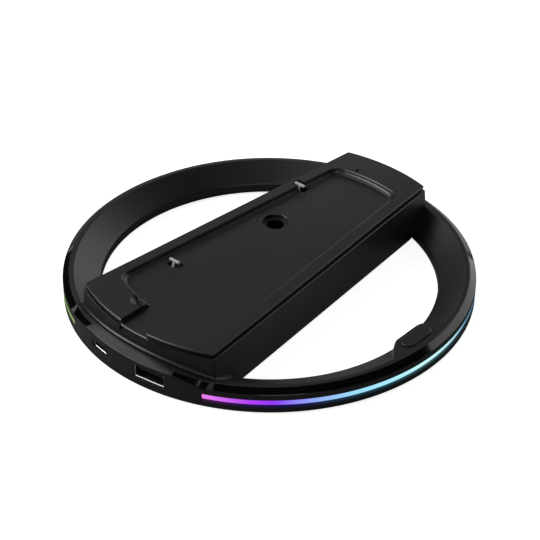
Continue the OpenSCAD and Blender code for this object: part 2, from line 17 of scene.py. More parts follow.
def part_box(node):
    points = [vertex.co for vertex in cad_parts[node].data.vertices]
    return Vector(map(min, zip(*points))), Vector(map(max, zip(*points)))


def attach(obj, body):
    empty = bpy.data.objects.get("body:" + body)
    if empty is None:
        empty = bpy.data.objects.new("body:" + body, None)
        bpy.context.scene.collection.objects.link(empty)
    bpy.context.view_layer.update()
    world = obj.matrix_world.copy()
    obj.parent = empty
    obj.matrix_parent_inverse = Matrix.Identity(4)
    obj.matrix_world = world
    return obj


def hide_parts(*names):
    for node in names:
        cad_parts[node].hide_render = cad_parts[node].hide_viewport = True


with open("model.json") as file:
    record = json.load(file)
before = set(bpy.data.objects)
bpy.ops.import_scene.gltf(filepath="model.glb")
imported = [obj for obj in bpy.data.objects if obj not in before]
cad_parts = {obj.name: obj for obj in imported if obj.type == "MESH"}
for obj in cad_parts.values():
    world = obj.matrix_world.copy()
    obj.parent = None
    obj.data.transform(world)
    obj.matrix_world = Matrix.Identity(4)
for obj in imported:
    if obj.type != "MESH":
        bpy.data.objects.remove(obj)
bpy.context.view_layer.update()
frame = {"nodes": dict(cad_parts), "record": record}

# %% [markdown]
# ## Sizes
# The part's source gives these sizes in millimetres, counted from the base's underside.
# The feet lift everything by 0.8 mm, so that is added when points go into a mesh.

# %% Sizes of the ring and the bridge
MM = 0.001
LIFT = 0.8
RING_R, RING_IN, BEVEL_R, RIM_IN = 80.0, 65.6, 77.5, 75.7
WALL_IN, CAVITY_IN = 78.2, 67.2
WALL_TOP, RIM_H, DISH_LOW, SKIN, LEDGE = 7.7, 9.5, 3.7, 1.73, 6.2
STRIP_LOW, STRIP_TOP, STRIP_GAP = 3.4, 5.3, 24.2
FLOOR_T = 1.6
APRON_A, APRON_FLAT, APRON_EDGE, APRON_MID = 27.0, 16.0, 10.3, 12.0
END_R = 74.2
INLAY_FROM, INLAY_TO, INLAY_T, SLANT = 15.8, 25.4, 0.8, 0.45
BRIDGE_H, PLATE_T, TRAY_DEPTH = 19.3, 2.2, 2.0
HALF_W, TAPER, SHOULDER = 26.45, math.radians(5.27), 0.5
TRAY_MARGIN, TRAY_END_R, TRAY_CORNER = 5.0, 60.7, 4.5
NOTCH_W = 13.0
CAP_R, CAP_L, CAP_W, CAP_RISE = 71.7, 15.0, 5.8, 0.5
PAD_X, PAD_HALF = 67.5, 20.0
SCREW_AT, SCREW_D, RECESS_D, RECESS_H = (-9.5, 14.0), 7.0, 10.5, 1.35
HOOK_X, HOOK_YS, HOOK_BAR, HOOK_T, HOOK_RISE = -17.8, (-34.0, 38.6), 5.0, 1.1, 0.5
PORT_Z, PORT_INSET = 5.8, 0.7
PORT_A, PORT_A_W, PORT_A_H = 8.6, 13.2, 5.6
PORT_C, PORT_C_W, PORT_C_H = -9.6, 8.9, 3.2
PORT_A_LEN, PORT_C_LEN = 14.0, 7.4
SLOPE = (RIM_H - DISH_LOW) / (RIM_IN - RING_IN)
DISH_MID, RIM_FOOT, APRON_T = 70.5, RIM_IN - 0.3, 2.2
PAD_FLAT, PAD_TURN = 5.4, 15.2
SIDE_LEAN, END_LEAN = math.radians(4.4), math.radians(3.0)
ON_RING, FOOT_AT, SINK = RING_IN + 0.15, 6.0, 0.35
FIT = 0.3
print("ring:", 2 * RING_R, "mm across, bridge:", BRIDGE_H, "mm high")

# %% [markdown]
# ## From arrays to meshes
# A surface here is a grid of points: one direction runs along the piece, the other across
# it. The whole grid is worked out as one numpy array, and neighbours are joined to faces.
# Smooth shading hides the grid, and a real edge gets its own few rows of points, so it
# stays crisp with no extra work.

# %% Helpers that build meshes
def to_mesh(name, points, faces, smooth=True):
    """Mesh object from points in mm above the base, moved up onto the feet and into metres."""
    me = bpy.data.meshes.new(name)
    pts = (np.asarray(points, float) + [0, 0, LIFT]) * MM
    me.from_pydata(pts, [], [tuple(f) for f in faces])
    me.polygons.foreach_set("use_smooth", np.full(len(me.polygons), smooth))
    me.update()
    ob = bpy.data.objects.new(name, me)
    bpy.context.scene.collection.objects.link(ob)
    return ob


def face_outwards(ob):
    """Turns every face of a closed mesh outwards."""
    bm = bmesh.new()
    bm.from_mesh(ob.data)
    bmesh.ops.recalc_face_normals(bm, faces=bm.faces)
    bm.to_mesh(ob.data)
    bm.free()
    return ob


def grid_faces(n, m, close_n):
    """Quads between neighbours of an n by m grid that is closed across, and along if asked."""
    i = np.arange(n * m).reshape(n, m)
    a = i if close_n else i[:-1]
    b = np.roll(i, -1, 0) if close_n else i[1:]
    quads = np.stack([a, b, np.roll(b, -1, 1), np.roll(a, -1, 1)], -1)
    return quads.reshape(-1, 4).tolist()


def sweep(name, rings, closed):
    """Solid skin through closed sections: rings has the shape (sections, points, 3).
    Neighbouring sections are joined by quads, and an open sweep gets a cap at each end."""
    n, m = rings.shape[:2]
    faces = grid_faces(n, m, closed)
    if not closed:
        faces += [list(range(m))[::-1], list(range((n - 1) * m, n * m))]
    return face_outwards(to_mesh(name, rings.reshape(-1, 3), faces))


def soften(corners, reach, steps=4):
    """Rounds the corners of closed outlines, shape (..., corners, d). Each corner C becomes a
    curve from A to B, which lie on its two sides at the given reach (or 0.45 of a short side):
    point(s) = (1-s)^2 A + 2 s (1-s) C + s^2 B."""
    to_prev = np.roll(corners, 1, -2) - corners
    to_next = np.roll(corners, -1, -2) - corners
    len_p = np.linalg.norm(to_prev, axis=-1, keepdims=True) + 1e-9
    len_n = np.linalg.norm(to_next, axis=-1, keepdims=True) + 1e-9
    r = np.broadcast_to(np.asarray(reach, float)[..., None], len_p.shape)
    a = corners + to_prev / len_p * np.minimum(r, 0.45 * len_p)
    b = corners + to_next / len_n * np.minimum(r, 0.45 * len_n)
    s = np.linspace(0, 1, steps)[:, None]
    a, b, c = a[..., None, :], b[..., None, :], corners[..., None, :]
    out = (1 - s) ** 2 * a + 2 * s * (1 - s) * c + s ** 2 * b
    return out.reshape(*corners.shape[:-2], -1, corners.shape[-1])


# %% [markdown]
# ## Round the ring, openings and shading
# Most of this stand turns about one axis, so one helper sets sections up round it. Openings
# are exact cuts with closed tools, as a cutter would make them, and every piece ends with
# normals that keep its large faces flat, which shows most on dark plastic.

# %% Helpers that turn, cut and shade
def around(angles, section):
    """Sections of (radius, height) set up at angles in degrees: x = r cos a, y = r sin a. Near
    the corner pieces' outer ends the outline slants: angles turn by up to SLANT across the slope."""
    r, z = section[..., 0], section[..., 1]
    w = (np.asarray(angles, float) + 90 + 180) % 360 - 180
    near = np.interp(np.abs(w), [INLAY_TO - 1.5, INLAY_TO - 0.2, INLAY_TO + 0.2, APRON_A - 0.1],
                     [0, 1, 1, 0])
    turn = SLANT * (np.sign(w) * near)[:, None] * np.clip((78.75 - r) / 1.25, -1, 1)
    a = np.radians(np.asarray(angles, float)[:, None] + turn)
    return np.stack([r * np.cos(a), r * np.sin(a), z], -1)


def cut(ob, tools):
    """Takes the tools out of a piece with an exact boolean, then removes them."""
    for tool in tools:
        mod = ob.modifiers.new("cut", "BOOLEAN")
        mod.operation, mod.solver, mod.object = "DIFFERENCE", "EXACT", tool
    bpy.context.view_layer.update()
    done = bpy.data.meshes.new_from_object(ob.evaluated_get(bpy.context.evaluated_depsgraph_get()))
    ob.modifiers.clear()
    ob.data = done
    done.name = ob.name
    for tool in tools:
        bpy.data.objects.remove(tool)
    return ob


def crisp(ob, angle=28):
    """Smooth shading with normals weighted by face area, so large faces stay flat and small
    roundings take the whole turn. Edges steeper than the angle stay sharp."""
    ob.data.polygons.foreach_set("use_smooth", np.ones(len(ob.data.polygons), bool))
    ob.data.set_sharp_from_angle(angle=math.radians(angle))
    mod = ob.modifiers.new("normals", "WEIGHTED_NORMAL")
    mod.keep_sharp, mod.weight = True, 90
    bpy.context.view_layer.update()
    ob.data = bpy.data.meshes.new_from_object(ob.evaluated_get(bpy.context.evaluated_depsgraph_get()))
    ob.modifiers.clear()
    ob.data.name = ob.name
    return ob


print("helpers for meshes are ready")

# %% [markdown]
# ## The ring's upper moulding
# On the real stand this is one moulded shell: a dish that slopes in, a flat rim, a ledge for
# the glossy bevel, the outer wall, and a front that rises towards the bridge. All of it is
# one section that changes along the ring, so it is swept, with the section written as a
# function of the angle. The button's pad is part of the same section.

# %% The section of the ring at every angle
def smooth_step(t):
    """0 below 0, 1 above 1, and 3 t^2 - 2 t^3 in between."""
    t = np.clip(t, 0, 1)
    return t * t * (3 - 2 * t)


def dish(r):
    """Height of the dish: a straight slope from the inner edge to the rim."""
    return DISH_LOW + (r - RING_IN) * SLOPE


def from_front(angles):
    """Unsigned angle from the front, which is at -90 degrees."""
    return np.abs((np.asarray(angles, float) + 90 + 180) % 360 - 180)


def apron_heights(w):
    """Foot, rim and edge of the raised front at w degrees from its middle. The edge is level
    up to 16 degrees and then runs down in a straight line to the ring's own wall."""
    share = np.clip((w - APRON_FLAT) / (APRON_A - 1.5 - APRON_FLAT), 0, 1)
    foot = APRON_MID + (dish(END_R) - APRON_MID) * (w / APRON_A) ** 2
    edge = APRON_EDGE + (WALL_TOP - APRON_EDGE) * share
    flat_rim = foot + (APRON_EDGE - foot) * (BEVEL_R - END_R) / (RING_R - END_R)
    return foot, flat_rim + (RIM_H - flat_rim) * share, edge


def pad_inner(angles):
    """Radius of the pad's inner edge: the edge's x eases from 67.5 mm to the rim over 20 mm."""
    a = np.radians(np.asarray(angles, float))
    r = np.full(a.shape, DISH_MID)
    for _ in range(6):
        y = np.abs(r * np.sin(a))
        x = PAD_X + (RIM_IN - PAD_X) * smooth_step((y - PAD_FLAT) / (PAD_HALF - PAD_FLAT))
        r = x / np.maximum(np.cos(a), 0.3)
    return np.where(np.abs(a) < np.radians(PAD_TURN), np.minimum(r, RIM_FOOT), RIM_FOOT)


def ring_corners(angles):
    """Closed section, corner by corner: inner wall, dish, pad, rim, bevel's ledge, wall, hollow."""
    w = from_front(angles)
    n = len(w)
    one = np.ones(n)
    front = w < APRON_A
    foot, rim, edge = apron_heights(np.minimum(w, APRON_A))
    pad_r = pad_inner(angles)
    on_pad = (np.abs((np.asarray(angles) + 180) % 360 - 180) < PAD_TURN) & ~front
    low_r = np.where(on_pad, np.maximum(pad_r - 0.9, RING_IN + 0.8), DISH_MID)
    foot_r = np.where(front, END_R, np.where(on_pad, pad_r, RIM_FOOT))
    foot_z = np.where(front, foot, np.where(on_pad, RIM_H - 0.01, dish(RIM_FOOT)))
    low_z = np.where(front, foot - SLOPE * (END_R - DISH_MID), dish(low_r))
    lip_z = np.where(front, foot - SLOPE * (END_R - RING_IN), DISH_LOW)
    rim_mid = foot + (rim - foot) * (RIM_IN - END_R) / (BEVEL_R - END_R)
    in_inlay = front & (w > INLAY_FROM - 0.05) & (w < INLAY_TO + 0.05)
    drop = np.where(in_inlay, INLAY_T, 0.012)
    low_edge = np.where(front & (w < STRIP_GAP - 0.1), FLOOR_T + 0.05, STRIP_TOP + 0.05)
    hollow = np.where(front, foot - APRON_T, RIM_H - SKIN)
    return np.stack([np.stack(p, -1) for p in [
        (one * RING_IN, 0 * one), (one * RING_IN, lip_z), (low_r, low_z), (foot_r, foot_z),
        (one * RIM_IN, np.where(front, rim_mid, RIM_H)),
        (one * BEVEL_R, np.where(front, rim, RIM_H)),
        (one * (BEVEL_R + 0.12), np.where(front, rim - 0.02 - drop, WALL_TOP)),
        (one * RING_R, np.where(front, edge + 0.012 - drop, WALL_TOP)),
        (one * RING_R, low_edge), (one * WALL_IN, low_edge),
        (one * WALL_IN, np.where(front, edge - APRON_T, LEDGE)),
        (one * (RIM_IN + 0.3), hollow),
        (one * CAVITY_IN, np.where(front, lip_z + 0.4, dish(CAVITY_IN)) - SKIN),
        (one * CAVITY_IN, 0 * one)]], -2)


print("apron's foot, rim and edge in the middle:", [round(float(h), 2) for h in apron_heights(0.0)])

# %% [markdown]
# ## From section to skin
# Every corner of the section is rounded by its own reach, tight at the bevel's ledge and
# wider at the rim. Where the section jumps, as at the ends of a corner piece, two angles
# lie 0.04 degrees apart, so the step stays a clean wall.

# %% Sweep the ring's skin
REACH = [0.2, 0.5, 0.5, 0.35, 0.3, 0.22, 0.05, 0.4, 0.1, 0.1, 0.3, 0.3, 0.3, 0.2]
steps_at = [INLAY_FROM - 0.05, INLAY_TO + 0.05, APRON_A, STRIP_GAP - 0.1]
sharp = np.concatenate([[-90 - s - 0.02, -90 - s + 0.02, -90 + s - 0.02, -90 + s + 0.02]
                        for s in steps_at])
ring_angles = np.unique(np.round(np.concatenate([np.arange(-180, 180, 0.6), sharp]), 4))
ring_skin = sweep("ring_skin", around(ring_angles, soften(ring_corners(ring_angles), REACH, 5)), True)
print("ring skin:", len(ring_skin.data.polygons), "faces")

# %% [markdown]
# ## Windows in the ring
# The ports look out of the front wall and the button works in a slot, so their outlines are
# taken out of the skin. The tools are prisms with round corners: an outline swept between
# two levels.

# %% Cut the port windows and the button's slot
def outline_box(w, h, r, steps=8):
    """Closed outline of a w by h rectangle about the origin with corners of radius r."""
    c = np.array([[-w, -h], [w, -h], [w, h], [-w, h]], float) / 2
    t = np.linspace(0, math.pi / 2, steps)
    start = np.array([math.pi, 1.5 * math.pi, 0, 0.5 * math.pi])[:, None]
    mid = c * (1 - 2 * r / np.array([w, h]))
    ang = start + t
    pts = mid[:, None, :] + r * np.stack([np.cos(ang), np.sin(ang)], -1)
    return pts.reshape(-1, 2)


def prism(name, outline, levels, place):
    """Outline swept through levels; each level is (distance, growth). place turns the flat
    points (u, v, distance) into x, y, z."""
    n = outline / np.maximum(np.linalg.norm(outline, axis=1, keepdims=True), 1e-9)
    rings = np.stack([place(outline[:, 0] + n[:, 0] * g, outline[:, 1] + n[:, 1] * g,
                            np.full(len(outline), d)) for d, g in levels])
    return sweep(name, rings, False)


def at_port(angle):
    """Place for a port: u runs along the wall, v is up, distance is out from the port's mouth."""
    a = math.radians(angle - 90)
    out, side = np.array([math.cos(a), math.sin(a)]), np.array([-math.sin(a), math.cos(a)])

    def place(u, v, d):
        r = RING_R - PORT_INSET + d
        return np.stack([r * out[0] + u * side[0], r * out[1] + u * side[1], PORT_Z + v], -1)
    return place


def upright(x, y):
    """Place for a vertical prism with its middle at x, y."""
    return lambda u, v, d: np.stack([x + u, y + v, d], -1)


windows = [
    prism("tool_a", outline_box(PORT_A_W + FIT, PORT_A_H + FIT, 0.5), [(-4, 0), (4, 0)], at_port(PORT_A)),
    prism("tool_c", outline_box(PORT_C_W + FIT, PORT_C_H + FIT, PORT_C_H / 2 + 0.14),
          [(-4, 0), (4, 0)], at_port(PORT_C)),
    prism("tool_b", outline_box(CAP_W + FIT, CAP_L + FIT, CAP_W / 2 + 0.14), [(0, 0), (20, 0)],
          upright(CAP_R, 0))]
crisp(cut(ring_skin, windows), 30)
print("ring with windows:", len(ring_skin.data.polygons), "faces")
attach(ring_skin, "stand")
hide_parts("ring_top_shell")

# %% [markdown]
# ## Glossy band, corner pieces and the light guide
# The band is a wedge that lies in the ledge between wall and rim. It is the one polished part
# of the ring, and it mirrors the studio, so its faces are flat across and very smooth along.
# The corner pieces follow the raised front's slope. The light guide is a flat band in the wall.

# %% Sweep the band, the corner pieces and the guide
def arc_piece(name, a0, a1, section, reach, step=0.6):
    """Sweeps one section, or a section that is a function of the angle, from a0 to a1."""
    angles = np.linspace(a0, a1, max(8, int((a1 - a0) / step)))
    corners = section(angles) if callable(section) else np.broadcast_to(
        np.array(section, float), (len(angles), len(section), 2))
    return crisp(sweep(name, around(angles, soften(np.array(corners), reach, 4)), False), 40)


band = arc_piece("bevel_band", -90 + APRON_A + 0.05, 270 - APRON_A - 0.05,
                 [(RING_R, WALL_TOP + 0.03), (BEVEL_R + 0.04, RIM_H), (BEVEL_R + 0.04, WALL_TOP + 0.03)],
                 [0.16, 0.14, 0.05])
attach(band, "stand")
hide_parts("gloss_band")


def inlay_section(angles):
    """Thin layer on the slope between the ridge and the wall's edge of the raised front."""
    _, rim, edge = apron_heights(from_front(angles))
    r0, r1 = BEVEL_R + 0.2, RING_R - 0.02
    z0 = rim + (edge - rim) * (r0 - BEVEL_R) / (RING_R - BEVEL_R)
    one = np.ones(len(angles))
    return np.stack([np.stack(p, -1) for p in [
        (one * r0, z0 - INLAY_T + 0.1), (one * r0, z0 + 0.02), (one * r1, edge + 0.02),
        (one * r1, edge - INLAY_T + 0.1)]], -2)


for side, a0, a1 in (("right", -90 + INLAY_FROM, -90 + INLAY_TO),
                     ("left", -90 - INLAY_TO, -90 - INLAY_FROM)):
    inlay = arc_piece("corner_piece_" + side, a0, a1, inlay_section, [0.05, 0.12, 0.12, 0.05], 0.3)
    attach(inlay, "stand")
    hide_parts("corner_inlays")

guide = arc_piece("light_guide_bar", -90 + STRIP_GAP + 0.1, 270 - STRIP_GAP - 0.1,
                  [(RING_R, STRIP_LOW + 0.05), (RING_R, STRIP_TOP), (WALL_IN - 0.1, STRIP_TOP),
                   (WALL_IN - 0.1, STRIP_LOW + 0.05)], [0.12, 0.12, 0.05, 0.05])
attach(guide, "stand")
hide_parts("light_guide")
print("band, corner pieces and guide are made")

# %% [markdown]
# ## The plate with its tray
# The plate is a stack of outlines with the same number of points: up the edge, over a small
# facet that catches the light, across the top to the tray, and down its wall into a round
# foot. Under its edge the plate steps in, which leaves a black groove above the walls. The
# outlines of the plate and of the tray are both the meeting of a circle and two straight
# sides, so both come from one function.

# %% Outlines that narrow to the rear
def tapered(round_r, margin, corner, count=64):
    """Closed outline: two arcs about the ring's centre joined by straight sides that turn in
    by 5.27 degrees, with corners softened by quadratic curves. Points run anticlockwise."""
    def half(y):
        return HALF_W - margin - y * math.tan(TAPER)

    def corner_y(sign):
        y = sign * round_r * 0.9
        for _ in range(20):
            y = sign * math.sqrt(round_r ** 2 - half(y) ** 2)
        return y
    yf, yr = corner_y(-1), corner_y(1)
    a_f, a_r = math.asin(half(yf) / round_r), math.asin(half(yr) / round_r)
    inset = corner / round_r
    t = np.linspace(-1, 1, count)
    front_arc = np.stack([round_r * np.sin(t * (a_f - inset)), -round_r * np.cos(t * (a_f - inset))], -1)
    rear_arc = np.stack([-round_r * np.sin(t * (a_r - inset)), round_r * np.cos(t * (a_r - inset))], -1)

    def bend(p0, c, p1, n=14):
        s = np.linspace(0, 1, n + 2)[1:-1, None]
        return (1 - s) ** 2 * p0 + 2 * s * (1 - s) * c + s ** 2 * p1
    direction = np.array([-math.sin(TAPER), math.cos(TAPER)])
    cf, cr = np.array([half(yf), yf]), np.array([half(yr), yr])
    side_a, side_b = cf + direction * corner, cr - direction * corner
    u = np.linspace(0, 1, count)[:, None]
    right = side_a * (1 - u) + side_b * u
    mirror = np.array([-1, 1])
    return np.concatenate([
        front_arc, bend(front_arc[-1], cf, side_a), right, bend(side_b, cr, rear_arc[0]),
        rear_arc, bend(rear_arc[-1], cr * mirror, side_b * mirror), right[::-1] * mirror,
        bend(side_a * mirror, cf * mirror, front_arc[0])])


def stack(name, levels):
    """Skin through level outlines, each a pair of an (n, 2) outline and a height, with caps."""
    rings = np.stack([np.concatenate([o, np.full((len(o), 1), z)], 1) for o, z in levels])
    return sweep(name, rings, False)


def plate_outline(inset):
    return tapered(END_R - inset, inset, 0.7)


def tray_outline(inset):
    return tapered(TRAY_END_R - inset, TRAY_MARGIN + inset, TRAY_CORNER)


# %% [markdown]
# ## The plate's section
# From the outside in: the tray's pan hangs below the plate, the groove steps in under the
# edge, a facet of 0.32 mm breaks the edge, and the tray's wall is one arc that starts a
# little off the upright and ends level, in the tray's floor.

# %% Stack the plate
EDGE, LIP_LOW, GROOVE, GROOVE_IN = 0.32, 0.75, 1.1, 0.9
plate_low = BRIDGE_H - PLATE_T + 0.05
FLOOR_Z = BRIDGE_H - TRAY_DEPTH
PAN_Z = FLOOR_Z - PLATE_T
levels = [(tray_outline(-1.5), PAN_Z), (tray_outline(-1.5), plate_low - 0.1),
          (plate_outline(GROOVE_IN), plate_low), (plate_outline(GROOVE_IN), BRIDGE_H - GROOVE),
          (plate_outline(0), BRIDGE_H - LIP_LOW), (plate_outline(0), BRIDGE_H - EDGE),
          (plate_outline(EDGE), BRIDGE_H), (tray_outline(-EDGE), BRIDGE_H)]
STEEP = 0.2
ROUND = (TRAY_DEPTH - EDGE) / (1 - math.sin(STEEP))
turn = np.linspace(STEEP, math.pi / 2, 9)
levels += [(tray_outline(ROUND * (math.cos(STEEP) - math.cos(s))), FLOOR_Z + ROUND * (1 - math.sin(s)))
           for s in turn]
plate = stack("plate_skin", levels)
print("plate:", len(plate.data.polygons), "faces")

# %% [markdown]
# ## Openings of the plate
# The front border is open over 13 mm, the hooks stand in two slots, and the console's screw
# comes up through a hole with a round recess. Beside the opening a round relief with a slit
# breaks the tray's wall, and behind the tray there is one small mark. All are cut with the
# same prisms as before. The lip that closes the plate under its open front is a small piece
# of its own.

# %% Cut the plate
RELIEF_X, RELIEF_LOW = -9.6, 1.7


def turned(x, y, angle):
    """Place for a vertical prism that is turned about its own middle."""
    c, s = math.cos(math.radians(angle)), math.sin(math.radians(angle))
    return lambda u, v, d: np.stack([x + c * u - s * v, y + s * u + c * v, d], -1)


def disc(d):
    """Round outline of a diameter."""
    a = np.linspace(0, 2 * math.pi, 48, endpoint=False)
    return np.stack([np.cos(a), np.sin(a)], -1) * d / 2


ABOVE = BRIDGE_H + 2
tools = [
    prism("t_notch", outline_box(NOTCH_W, 30, 0.6), [(FLOOR_Z, 0), (ABOVE, 0)], upright(0, -72)),
    prism("t_hole", disc(SCREW_D), [(0, 0), (ABOVE, 0)], upright(*SCREW_AT)),
    prism("t_recess", disc(RECESS_D), [(FLOOR_Z - RECESS_H, 0), (FLOOR_Z - 0.15, 0),
                                       (FLOOR_Z + 0.15, 0.3), (ABOVE, 0.3)], upright(*SCREW_AT)),
    prism("t_relief", disc(2 * RELIEF_LOW), [(FLOOR_Z, 0), (FLOOR_Z + 0.1, 0.05), (BRIDGE_H, TRAY_DEPTH),
                                             (BRIDGE_H + 0.3, TRAY_DEPTH + 0.6)],
          upright(RELIEF_X, -TRAY_END_R)),
    prism("t_slit", outline_box(2.7, 1.1, 0.2), [(0, 0), (ABOVE, 0)],
          turned(RELIEF_X + 1.1, -TRAY_END_R - 1.1, -45)),
    prism("t_mark", outline_box(1, 1.8, 0.2), [(BRIDGE_H - 0.6, 0), (ABOVE, 0)],
          upright(-7.6, TRAY_END_R + 1.8))]
for y in HOOK_YS:
    tools.append(prism("t_hook", outline_box(5.8, 3.8, 0.4), [(0, 0), (ABOVE, 0)],
                       upright(HOOK_X - 0.2, y + 0.5)))
crisp(cut(plate, tools), 30)
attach(plate, "stand")
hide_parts("tray_plate")

LIP_BACK = -58.0


def lip_outline(inset):
    """Round front at the plate's end radius, straight back inside the tray."""
    t = np.linspace(-1, 1, 24) * math.asin(NOTCH_W / 2 / END_R)
    arc = np.stack([(END_R - inset) * np.sin(t), -(END_R - inset) * np.cos(t)], -1)
    return np.concatenate([arc, [[NOTCH_W / 2, LIP_BACK], [-NOTCH_W / 2, LIP_BACK]]])


lip = crisp(stack("open_front_lip", [
    (lip_outline(0.1), PAN_Z), (lip_outline(0), PAN_Z + 0.1), (lip_outline(0), FLOOR_Z - EDGE),
    (lip_outline(EDGE), FLOOR_Z + 0.01)]), 30)
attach(lip, "stand")
print("plate with openings:", len(plate.data.polygons), "faces, lip:", len(lip.data.polygons))

# %% [markdown]
# ## The bridge's walls
# One moulded wall runs round under the plate. It leans in towards the top, and its foot
# follows the ring: it ends in the dish where it stands on the ring, and reaches the base
# between the two. So the lower edge of the skin has a height of its own at every point. The
# skin goes down outside, over a round bead where it meets the ring, turns in and comes up
# again inside.

# %% Build the bridge's walls
SHOULDER_Z = BRIDGE_H - PLATE_T


def wall_outline(z, inset):
    """Outline of the bridge at a height: sides lean 4.4 degrees and ends 3 degrees."""
    down = SHOULDER_Z - z
    return tapered(END_R + SHOULDER + down * math.tan(END_LEAN) - inset,
                   -SHOULDER - down * math.tan(SIDE_LEAN) + inset, 0.6)


def foot_height(p):
    """Where the wall ends: just inside the dish or the apron, or on the base between them."""
    r = np.hypot(p[:, 0], p[:, 1])
    w = from_front(np.degrees(np.arctan2(p[:, 1], p[:, 0])))
    foot, _, _ = apron_heights(np.minimum(w, APRON_A))
    z = np.where(w < APRON_A, foot - SLOPE * (END_R - r), dish(r)) - SINK
    return np.where(r < ON_RING, 0.05, np.maximum(z, 0.05))


def wall_ring(share, inset, push=0.0):
    """Points at a share of the way from the foot (0) to the shoulder (1): each one is
    (1-k) top + k bottom, with k its share of the way down, moved out by its own push."""
    out = (wall_outline(0, -1) - wall_outline(0, 0)) * push
    top, bottom = wall_outline(SHOULDER_Z, inset) + out, wall_outline(0, inset) + out
    z0 = foot_height(wall_outline(FOOT_AT, 0))
    z = z0 + (SHOULDER_Z - z0) * share
    k = ((SHOULDER_Z - z) / SHOULDER_Z)[:, None]
    return np.concatenate([top * (1 - k) + bottom * k, z[:, None]], 1)


def bead(rise, out):
    """Points of the round bead at the foot, where the wall stands on the ring."""
    base = wall_outline(FOOT_AT, 0)
    z = foot_height(base) + SINK
    on_ring = np.hypot(base[:, 0], base[:, 1]) > ON_RING
    ring = wall_ring(0, 0, out * on_ring[:, None])
    ring[:, 2] = np.where(on_ring, z + rise, ring[:, 2] + 0.01 * rise)
    return ring


rings = [wall_ring(1, 0.3), wall_ring(0.98, 0), wall_ring(0.5, 0),
         wall_ring(0.12, 0), bead(0.95, 0.0), bead(0.5, 0.16), bead(0.2, 0.42), bead(0.0, 0.8),
         wall_ring(0, 0), wall_ring(0, 2.0), wall_ring(0.5, 2.0), wall_ring(1, 2.0)]
housing = sweep("bridge_skin", np.stack(rings), True)
step = prism("t_step", outline_box(NOTCH_W + 0.2, 24, 0.3), [(PAN_Z - 0.05, 0), (ABOVE, 0)], upright(0, -74))
crisp(cut(housing, [step]), 30)
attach(housing, "stand")
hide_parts("bridge_housing")
print("bridge walls:", len(housing.data.polygons), "faces")

# %% [markdown]
# ## The button
# The button's cap is a pill with a soft crown: the outline is swept up its side, and the
# last levels draw in more and more. On it stands a small raised light mark, a disc with
# eight rays, in the cap's own black, so it only shows where the light grazes it.

# %% Button cap and its mark
z_cap = RIM_H + CAP_RISE
cap_line = outline_box(CAP_W, CAP_L, CAP_W / 2 - 0.001, 14)
cap_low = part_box("button_cap")[0].z / MM - LIFT
cap = crisp(prism("cap_skin", cap_line, [
    (cap_low, -0.1), (cap_low + 0.1, 0), (z_cap - 0.42, 0), (z_cap - 0.2, -0.06), (z_cap - 0.08, -0.18),
    (z_cap - 0.02, -0.42), (z_cap, -0.9)], upright(CAP_R, 0)), 60)
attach(cap, "button")
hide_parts("button_cap")


def mark_piece():
    """Light mark: a disc of 0.55 mm radius and eight rays from 0.85 to 1.35 mm, 0.04 mm high."""
    parts = [disc(1.1)]
    ray = np.array([[0.85, -0.1], [1.35, -0.1], [1.35, 0.1], [0.85, 0.1]])
    for k in range(8):
        c, s = math.cos(k * math.pi / 4), math.sin(k * math.pi / 4)
        parts.append(ray @ np.array([[c, s], [-s, c]]))
    points, faces = [], []
    for o in parts:
        n, base = len(o), len(points)
        points += [(x + CAP_R, y, z_cap - 0.02) for x, y in o] + [(x + CAP_R, y, z_cap + 0.025) for x, y in o]
        faces += [(base + i, base + (i + 1) % n, base + n + (i + 1) % n, base + n + i) for i in range(n)]
        faces += [tuple(base + i for i in range(n))[::-1], tuple(base + n + i for i in range(n))]
    return face_outwards(to_mesh("light_mark", points, faces, False))


mark = mark_piece()
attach(mark, "button")
print("button cap:", len(cap.data.polygons), "faces, mark:", len(mark.data.polygons))

# %% [markdown]
# ## The tongues in the ports
# The tongues have the right shape in CAD, so a merged copy of each only gets its edges
# broken by a narrow bevel. Without one, a moulded edge looks cut from paper.

# %% Broken edges on CAD pieces
def refined(node, body, width, segments=2):
    """Merged copy of a CAD node whose sharp edges are broken by a bevel; it replaces the node."""
    ob = frame["nodes"][node].copy()
    ob.data = ob.data.copy()
    for key in list(ob.keys()):
        del ob[key]
    ob.name = ob.data.name = node + "_fine"
    ob.parent = None
    bpy.context.scene.collection.objects.link(ob)
    bm = bmesh.new()
    bm.from_mesh(ob.data)
    bmesh.ops.remove_doubles(bm, verts=bm.verts, dist=2e-6)
    bmesh.ops.dissolve_limit(bm, angle_limit=math.radians(0.5), verts=bm.verts, edges=bm.edges)
    sharp_edges = [e for e in bm.edges if len(e.link_faces) == 2 and e.calc_face_angle() > math.radians(30)]
    bmesh.ops.bevel(bm, geom=sharp_edges, offset=width * MM, segments=segments, profile=0.5,
                    affect="EDGES", clamp_overlap=True)
    bmesh.ops.recalc_face_normals(bm, faces=bm.faces)
    bm.to_mesh(ob.data)
    bm.free()
    crisp(ob, 50)
    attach(ob, body)
    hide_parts(node)
    return ob


fine = {}
for tongue, width in (("port_a_tongue", 0.1), ("port_c_tongue", 0.08)):
    fine[tongue] = refined(tongue, "stand", width)
print("refined:", sorted(fine))

# %% [markdown]
# ## Hooks and port shells
# A hook is a T: a slim stem that leans forwards as it goes down into its black pocket, a bar
# across its top, and a dark foot of its own under the plate. A port's shell is a sheet sleeve
# whose mouth is folded round. Its lower lip is what shines as a bright line under a port.

# %% Build the hooks
HOOK_TOP = BRIDGE_H + HOOK_RISE
STEM, FOOT_X, FOOT_Y, BREAK = 0.95, 6.6, 6.5, 0.16


